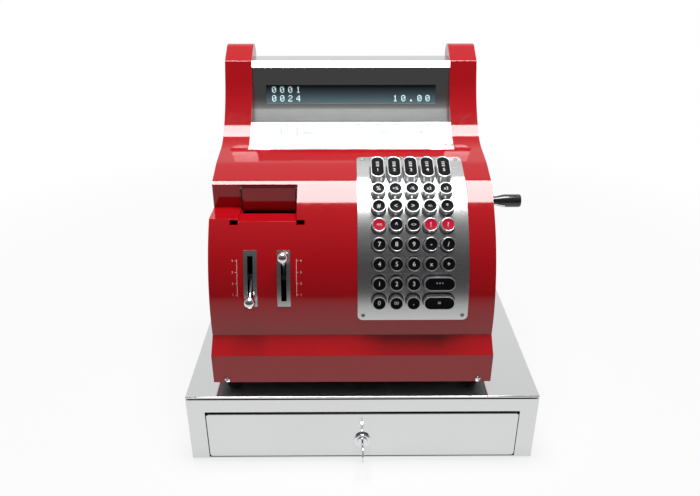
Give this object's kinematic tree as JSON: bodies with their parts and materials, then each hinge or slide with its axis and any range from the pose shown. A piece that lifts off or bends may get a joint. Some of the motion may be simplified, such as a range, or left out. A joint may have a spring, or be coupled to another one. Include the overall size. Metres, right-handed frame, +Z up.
{
  "type": "cash register",
  "caption": "Retro cash register with a barrel front, press keys, selector levers, crank and digital display, standing on a steel cash drawer with a lock.",
  "frame": {"origin": "bottom centre of the whole object, on the surface it stands on", "axes": "+X to the right seen from the front, +Y to the back, +Z up"},
  "size_m": [0.41, 0.451, 0.4429],
  "materials": {
    "red_lacquer": "gloss",
    "polished_steel": "polished",
    "black_gloss": "gloss",
    "red_gloss": "gloss",
    "chrome": "polished",
    "black_rubber": "matte",
    "dark_pane": "gloss",
    "grey_steel": "satin",
    "dark_plastic": "matte"
  },
  "bodies": {
    "cabinet": {"drawer_case": "polished_steel", "housing_shell": "red_lacquer", "base_plate": "grey_steel", "keyboard_plate": "polished_steel", "key_guide_board": "dark_plastic", "display_panel": "polished_steel", "display_window": "dark_pane", "lever_plates": "polished_steel", "rubber_feet": "black_rubber", "printer_unit": "dark_plastic"},
    "drawer": {"drawer_tray": "grey_steel", "drawer_front": "polished_steel", "till_insert": "dark_plastic", "lock_collar": "chrome"},
    "lock": {"lock_plug": "chrome"},
    "mode_selector": {"mode_lever": "chrome"},
    "clerk_selector": {"clerk_lever": "chrome"},
    "crank": {"crank_arm": "chrome"},
    "grip": {"crank_grip": "black_gloss"},
    "flap": {"printer_flap": "red_lacquer"},
    "department_key_1_body": {"department_key_1": "black_gloss"},
    "department_key_2_body": {"department_key_2": "black_gloss"},
    "department_key_3_body": {"department_key_3": "black_gloss"},
    "department_key_4_body": {"department_key_4": "black_gloss"},
    "department_key_5_body": {"department_key_5": "black_gloss"},
    "upper_key_1_body": {"upper_key_1": "black_gloss"},
    "upper_key_2_body": {"upper_key_2": "black_gloss"},
    "upper_key_3_body": {"upper_key_3": "black_gloss"},
    "upper_key_4_body": {"upper_key_4": "black_gloss"},
    "upper_key_5_body": {"upper_key_5": "black_gloss"},
    "middle_key_1_body": {"middle_key_1": "black_gloss"},
    "middle_key_2_body": {"middle_key_2": "black_gloss"},
    "middle_key_3_body": {"middle_key_3": "black_gloss"},
    "middle_key_4_body": {"middle_key_4": "black_gloss"},
    "middle_key_5_body": {"middle_key_5": "black_gloss"},
    "command_key_1_body": {"command_key_1": "red_gloss"},
    "command_key_2_body": {"command_key_2": "black_gloss"},
    "command_key_3_body": {"command_key_3": "black_gloss"},
    "command_key_4_body": {"command_key_4": "red_gloss"},
    "command_key_5_body": {"command_key_5": "red_gloss"},
    "digit_key_7_body": {"digit_key_7": "black_gloss"},
    "digit_key_8_body": {"digit_key_8": "black_gloss"},
    "digit_key_9_body": {"digit_key_9": "black_gloss"},
    "operator_key_1_body": {"operator_key_1": "black_gloss"},
    "operator_key_2_body": {"operator_key_2": "black_gloss"},
    "digit_key_4_body": {"digit_key_4": "black_gloss"},
    "digit_key_5_body": {"digit_key_5": "black_gloss"},
    "digit_key_6_body": {"digit_key_6": "black_gloss"},
    "operator_key_3_body": {"operator_key_3": "black_gloss"},
    "operator_key_4_body": {"operator_key_4": "black_gloss"},
    "digit_key_1_body": {"digit_key_1": "black_gloss"},
    "digit_key_2_body": {"digit_key_2": "black_gloss"},
    "digit_key_3_body": {"digit_key_3": "black_gloss"},
    "subtotal_key_body": {"subtotal_key": "black_gloss"},
    "digit_key_0_body": {"digit_key_0": "black_gloss"},
    "double_zero_key_body": {"double_zero_key": "black_gloss"},
    "point_key_body": {"point_key": "black_gloss"},
    "total_key_body": {"total_key": "black_gloss"}
  },
  "joints": [
    {"name": "drawer_slide", "type": "slide", "parent": "cabinet", "child": "drawer", "axis": [0, -1, 0], "range_m": [0, 0.285]},
    {"name": "lock_turn", "type": "hinge", "parent": "drawer", "child": "lock", "pos_m": [0, -0.1895, 0.033], "axis": [0, 1, 0], "range_deg": [0, 90]},
    {"name": "mode_lever_swing", "type": "hinge", "parent": "cabinet", "child": "mode_selector", "pos_m": [-0.12565, -0.13591, 0.22413], "axis": [-1, 0, 0], "range_deg": [0, 88]},
    {"name": "clerk_lever_swing", "type": "hinge", "parent": "cabinet", "child": "clerk_selector", "pos_m": [-0.08835, -0.13591, 0.22413], "axis": [1, 0, 0], "range_deg": [0, 88]},
    {"name": "crank_pull", "type": "hinge", "parent": "cabinet", "child": "crank", "pos_m": [0.149, -0.0045, 0.19], "axis": [1, 0, 0], "range_deg": [0, 70], "stiffness_Nm_per_rad": 0.5, "springref_deg": -28.65},
    {"name": "grip_spin", "type": "hinge", "parent": "crank", "child": "grip", "pos_m": [0.156, -0.0395, 0.277], "axis": [1, 0, 0], "continuous": true},
    {"name": "flap_lift", "type": "hinge", "parent": "cabinet", "child": "flap", "pos_m": [-0.10715, -0.0875, 0.3105], "axis": [-1, 0, 0], "range_deg": [0, 80]},
    {"name": "department_key_1_press", "type": "slide", "parent": "cabinet", "child": "department_key_1_body", "axis": [0, 0.3746, -0.9272], "range_m": [0, 0.004], "stiffness_N_per_m": 200, "springref_m": -0.003},
    {"name": "department_key_2_press", "type": "slide", "parent": "cabinet", "child": "department_key_2_body", "axis": [0, 0.3746, -0.9272], "range_m": [0, 0.004], "stiffness_N_per_m": 200, "springref_m": -0.003},
    {"name": "department_key_3_press", "type": "slide", "parent": "cabinet", "child": "department_key_3_body", "axis": [0, 0.3746, -0.9272], "range_m": [0, 0.004], "stiffness_N_per_m": 200, "springref_m": -0.003},
    {"name": "department_key_4_press", "type": "slide", "parent": "cabinet", "child": "department_key_4_body", "axis": [0, 0.3746, -0.9272], "range_m": [0, 0.004], "stiffness_N_per_m": 200, "springref_m": -0.003},
    {"name": "department_key_5_press", "type": "slide", "parent": "cabinet", "child": "department_key_5_body", "axis": [0, 0.3746, -0.9272], "range_m": [0, 0.004], "stiffness_N_per_m": 200, "springref_m": -0.003},
    {"name": "upper_key_1_press", "type": "slide", "parent": "cabinet", "child": "upper_key_1_body", "axis": [0, 0.6019, -0.7986], "range_m": [0, 0.004], "stiffness_N_per_m": 200, "springref_m": -0.003},
    {"name": "upper_key_2_press", "type": "slide", "parent": "cabinet", "child": "upper_key_2_body", "axis": [0, 0.6019, -0.7986], "range_m": [0, 0.004], "stiffness_N_per_m": 200, "springref_m": -0.003},
    {"name": "upper_key_3_press", "type": "slide", "parent": "cabinet", "child": "upper_key_3_body", "axis": [0, 0.6019, -0.7986], "range_m": [0, 0.004], "stiffness_N_per_m": 200, "springref_m": -0.003},
    {"name": "upper_key_4_press", "type": "slide", "parent": "cabinet", "child": "upper_key_4_body", "axis": [0, 0.6019, -0.7986], "range_m": [0, 0.004], "stiffness_N_per_m": 200, "springref_m": -0.003},
    {"name": "upper_key_5_press", "type": "slide", "parent": "cabinet", "child": "upper_key_5_body", "axis": [0, 0.6019, -0.7986], "range_m": [0, 0.004], "stiffness_N_per_m": 200, "springref_m": -0.003},
    {"name": "middle_key_1_press", "type": "slide", "parent": "cabinet", "child": "middle_key_1_body", "axis": [0, 0.6972, -0.7168], "range_m": [0, 0.004], "stiffness_N_per_m": 200, "springref_m": -0.003},
    {"name": "middle_key_2_press", "type": "slide", "parent": "cabinet", "child": "middle_key_2_body", "axis": [0, 0.6972, -0.7168], "range_m": [0, 0.004], "stiffness_N_per_m": 200, "springref_m": -0.003},
    {"name": "middle_key_3_press", "type": "slide", "parent": "cabinet", "child": "middle_key_3_body", "axis": [0, 0.6972, -0.7168], "range_m": [0, 0.004], "stiffness_N_per_m": 200, "springref_m": -0.003},
    {"name": "middle_key_4_press", "type": "slide", "parent": "cabinet", "child": "middle_key_4_body", "axis": [0, 0.6972, -0.7168], "range_m": [0, 0.004], "stiffness_N_per_m": 200, "springref_m": -0.003},
    {"name": "middle_key_5_press", "type": "slide", "parent": "cabinet", "child": "middle_key_5_body", "axis": [0, 0.6972, -0.7168], "range_m": [0, 0.004], "stiffness_N_per_m": 200, "springref_m": -0.003},
    {"name": "command_key_1_press", "type": "slide", "parent": "cabinet", "child": "command_key_1_body", "axis": [0, 0.7816, -0.6238], "range_m": [0, 0.004], "stiffness_N_per_m": 200, "springref_m": -0.003},
    {"name": "command_key_2_press", "type": "slide", "parent": "cabinet", "child": "command_key_2_body", "axis": [0, 0.7816, -0.6238], "range_m": [0, 0.004], "stiffness_N_per_m": 200, "springref_m": -0.003},
    {"name": "command_key_3_press", "type": "slide", "parent": "cabinet", "child": "command_key_3_body", "axis": [0, 0.7816, -0.6238], "range_m": [0, 0.004], "stiffness_N_per_m": 200, "springref_m": -0.003},
    {"name": "command_key_4_press", "type": "slide", "parent": "cabinet", "child": "command_key_4_body", "axis": [0, 0.7816, -0.6238], "range_m": [0, 0.004], "stiffness_N_per_m": 200, "springref_m": -0.003},
    {"name": "command_key_5_press", "type": "slide", "parent": "cabinet", "child": "command_key_5_body", "axis": [0, 0.7816, -0.6238], "range_m": [0, 0.004], "stiffness_N_per_m": 200, "springref_m": -0.003},
    {"name": "digit_key_7_press", "type": "slide", "parent": "cabinet", "child": "digit_key_7_body", "axis": [0, 0.8536, -0.5209], "range_m": [0, 0.004], "stiffness_N_per_m": 200, "springref_m": -0.003},
    {"name": "digit_key_8_press", "type": "slide", "parent": "cabinet", "child": "digit_key_8_body", "axis": [0, 0.8536, -0.5209], "range_m": [0, 0.004], "stiffness_N_per_m": 200, "springref_m": -0.003},
    {"name": "digit_key_9_press", "type": "slide", "parent": "cabinet", "child": "digit_key_9_body", "axis": [0, 0.8536, -0.5209], "range_m": [0, 0.004], "stiffness_N_per_m": 200, "springref_m": -0.003},
    {"name": "operator_key_1_press", "type": "slide", "parent": "cabinet", "child": "operator_key_1_body", "axis": [0, 0.8536, -0.5209], "range_m": [0, 0.004], "stiffness_N_per_m": 200, "springref_m": -0.003},
    {"name": "operator_key_2_press", "type": "slide", "parent": "cabinet", "child": "operator_key_2_body", "axis": [0, 0.8536, -0.5209], "range_m": [0, 0.004], "stiffness_N_per_m": 200, "springref_m": -0.003},
    {"name": "digit_key_4_press", "type": "slide", "parent": "cabinet", "child": "digit_key_4_body", "axis": [0, 0.9122, -0.4098], "range_m": [0, 0.004], "stiffness_N_per_m": 200, "springref_m": -0.003},
    {"name": "digit_key_5_press", "type": "slide", "parent": "cabinet", "child": "digit_key_5_body", "axis": [0, 0.9122, -0.4098], "range_m": [0, 0.004], "stiffness_N_per_m": 200, "springref_m": -0.003},
    {"name": "digit_key_6_press", "type": "slide", "parent": "cabinet", "child": "digit_key_6_body", "axis": [0, 0.9122, -0.4098], "range_m": [0, 0.004], "stiffness_N_per_m": 200, "springref_m": -0.003},
    {"name": "operator_key_3_press", "type": "slide", "parent": "cabinet", "child": "operator_key_3_body", "axis": [0, 0.9122, -0.4098], "range_m": [0, 0.004], "stiffness_N_per_m": 200, "springref_m": -0.003},
    {"name": "operator_key_4_press", "type": "slide", "parent": "cabinet", "child": "operator_key_4_body", "axis": [0, 0.9122, -0.4098], "range_m": [0, 0.004], "stiffness_N_per_m": 200, "springref_m": -0.003},
    {"name": "digit_key_1_press", "type": "slide", "parent": "cabinet", "child": "digit_key_1_body", "axis": [0, 0.9563, -0.2923], "range_m": [0, 0.004], "stiffness_N_per_m": 200, "springref_m": -0.003},
    {"name": "digit_key_2_press", "type": "slide", "parent": "cabinet", "child": "digit_key_2_body", "axis": [0, 0.9563, -0.2923], "range_m": [0, 0.004], "stiffness_N_per_m": 200, "springref_m": -0.003},
    {"name": "digit_key_3_press", "type": "slide", "parent": "cabinet", "child": "digit_key_3_body", "axis": [0, 0.9563, -0.2923], "range_m": [0, 0.004], "stiffness_N_per_m": 200, "springref_m": -0.003},
    {"name": "subtotal_key_press", "type": "slide", "parent": "cabinet", "child": "subtotal_key_body", "axis": [0, 0.9563, -0.2923], "range_m": [0, 0.004], "stiffness_N_per_m": 200, "springref_m": -0.003},
    {"name": "digit_key_0_press", "type": "slide", "parent": "cabinet", "child": "digit_key_0_body", "axis": [0, 0.9854, -0.1701], "range_m": [0, 0.004], "stiffness_N_per_m": 200, "springref_m": -0.003},
    {"name": "double_zero_key_press", "type": "slide", "parent": "cabinet", "child": "double_zero_key_body", "axis": [0, 0.9854, -0.1701], "range_m": [0, 0.004], "stiffness_N_per_m": 200, "springref_m": -0.003},
    {"name": "point_key_press", "type": "slide", "parent": "cabinet", "child": "point_key_body", "axis": [0, 0.9854, -0.1701], "range_m": [0, 0.004], "stiffness_N_per_m": 200, "springref_m": -0.003},
    {"name": "total_key_press", "type": "slide", "parent": "cabinet", "child": "total_key_body", "axis": [0, 0.9854, -0.1701], "range_m": [0, 0.004], "stiffness_N_per_m": 200, "springref_m": -0.003}
  ]
}
